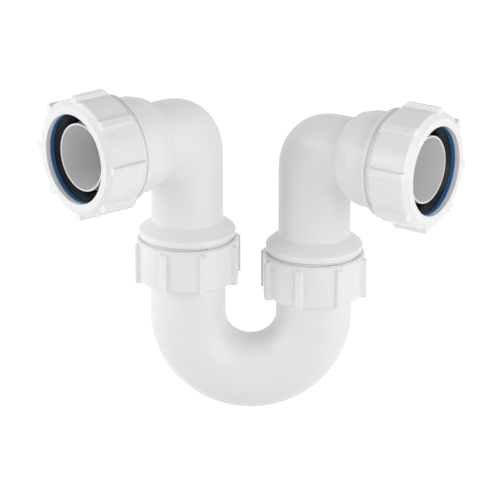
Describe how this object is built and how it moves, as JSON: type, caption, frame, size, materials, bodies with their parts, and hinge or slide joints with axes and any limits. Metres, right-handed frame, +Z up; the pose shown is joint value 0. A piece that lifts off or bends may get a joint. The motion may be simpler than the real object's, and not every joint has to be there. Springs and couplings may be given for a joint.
{
  "type": "running p trap",
  "caption": "White plastic running trap: a U bend hung under its elbows by ribbed coupling nuts, each elbow ending in a ribbed compression joint for waste pipe.",
  "frame": {"origin": "on the inlet arm's axis, at the open end of the thin tube that the waste pipe slides over", "axes": "+Z up; +X from the inlet leg to the outlet leg, in the plane of the U bend; +Y back, away from the side that both arms swing to"},
  "size_m": [0.2402, 0.1081, 0.2038],
  "materials": {
    "white_plastic": "moulded gloss",
    "nut_plastic": "moulded gloss",
    "blue_plastic": "moulded",
    "seal_rubber": "smooth",
    "washer_rubber": "smooth"
  },
  "bodies": {
    "inlet_elbow": {"inlet_elbow": "white_plastic", "inlet_seal": "seal_rubber"},
    "outlet_elbow": {"outlet_elbow": "white_plastic", "outlet_seal": "seal_rubber"},
    "u_bend": {"u_bend": "white_plastic"},
    "inlet_coupling_nut": {"inlet_coupling_nut": "nut_plastic"},
    "outlet_coupling_nut": {"outlet_coupling_nut": "nut_plastic"},
    "inlet_washer": {"inlet_washer": "washer_rubber"},
    "outlet_washer": {"outlet_washer": "washer_rubber"},
    "inlet_nut": {"inlet_nut": "nut_plastic"},
    "outlet_nut": {"outlet_nut": "nut_plastic"},
    "inlet_slip_ring": {"inlet_slip_ring": "blue_plastic"},
    "outlet_slip_ring": {"outlet_slip_ring": "blue_plastic"}
  },
  "joints": [
    {"name": "inlet_slip_ring_slide", "type": "slide", "parent": "inlet_elbow", "child": "inlet_slip_ring", "axis": [-0.7638, -0.6455, 0], "range_m": [0, 0.014]},
    {"name": "inlet_nut_turn", "type": "hinge", "parent": "inlet_slip_ring", "child": "inlet_nut", "pos_m": [0.00351, 0.00297, 0], "axis": [-0.7638, -0.6455, 0], "range_deg": [0, 1260]},
    {"name": "inlet_swivel", "type": "hinge", "parent": "u_bend", "child": "inlet_washer", "pos_m": [0.05698, 0.04815, -0.0803], "axis": [0, 0, 1], "range_deg": [-129, 48]},
    {"name": "inlet_coupling_nut_turn", "type": "hinge", "parent": "inlet_washer", "child": "inlet_coupling_nut", "pos_m": [0.05698, 0.04815, -0.0803], "axis": [0, 0, -1], "range_deg": [0, 1260]},
    {"name": "inlet_elbow_lift", "type": "slide", "parent": "inlet_washer", "child": "inlet_elbow", "axis": [0, 0, 1], "range_m": [0, 0.014]},
    {"name": "outlet_swivel", "type": "hinge", "parent": "u_bend", "child": "outlet_washer", "pos_m": [0.12998, 0.04815, -0.0895], "axis": [0, 0, 1], "range_deg": [-55, 123]},
    {"name": "outlet_coupling_nut_turn", "type": "hinge", "parent": "outlet_washer", "child": "outlet_coupling_nut", "pos_m": [0.12998, 0.04815, -0.0895], "axis": [0, 0, -1], "range_deg": [0, 1260]},
    {"name": "outlet_elbow_lift", "type": "slide", "parent": "outlet_washer", "child": "outlet_elbow", "axis": [0, 0, 1], "range_m": [0, 0.014]},
    {"name": "outlet_slip_ring_slide", "type": "slide", "parent": "outlet_elbow", "child": "outlet_slip_ring", "axis": [0.8281, -0.5606, 0], "range_m": [0, 0.014]},
    {"name": "outlet_nut_turn", "type": "hinge", "parent": "outlet_slip_ring", "child": "outlet_nut", "pos_m": [0.18794, 0.00891, -0.0092], "axis": [0.8281, -0.5606, 0], "range_deg": [0, 1260]}
  ],
  "couplings": [
    {"joint": "inlet_slip_ring_slide", "follows": "inlet_nut_turn", "m_per_rad": 0.00063662},
    {"joint": "outlet_slip_ring_slide", "follows": "outlet_nut_turn", "m_per_rad": 0.00063662},
    {"joint": "inlet_coupling_nut_turn", "follows": "inlet_elbow_lift", "rad_per_m": 1570.8},
    {"joint": "outlet_coupling_nut_turn", "follows": "outlet_elbow_lift", "rad_per_m": 1570.8}
  ]
}
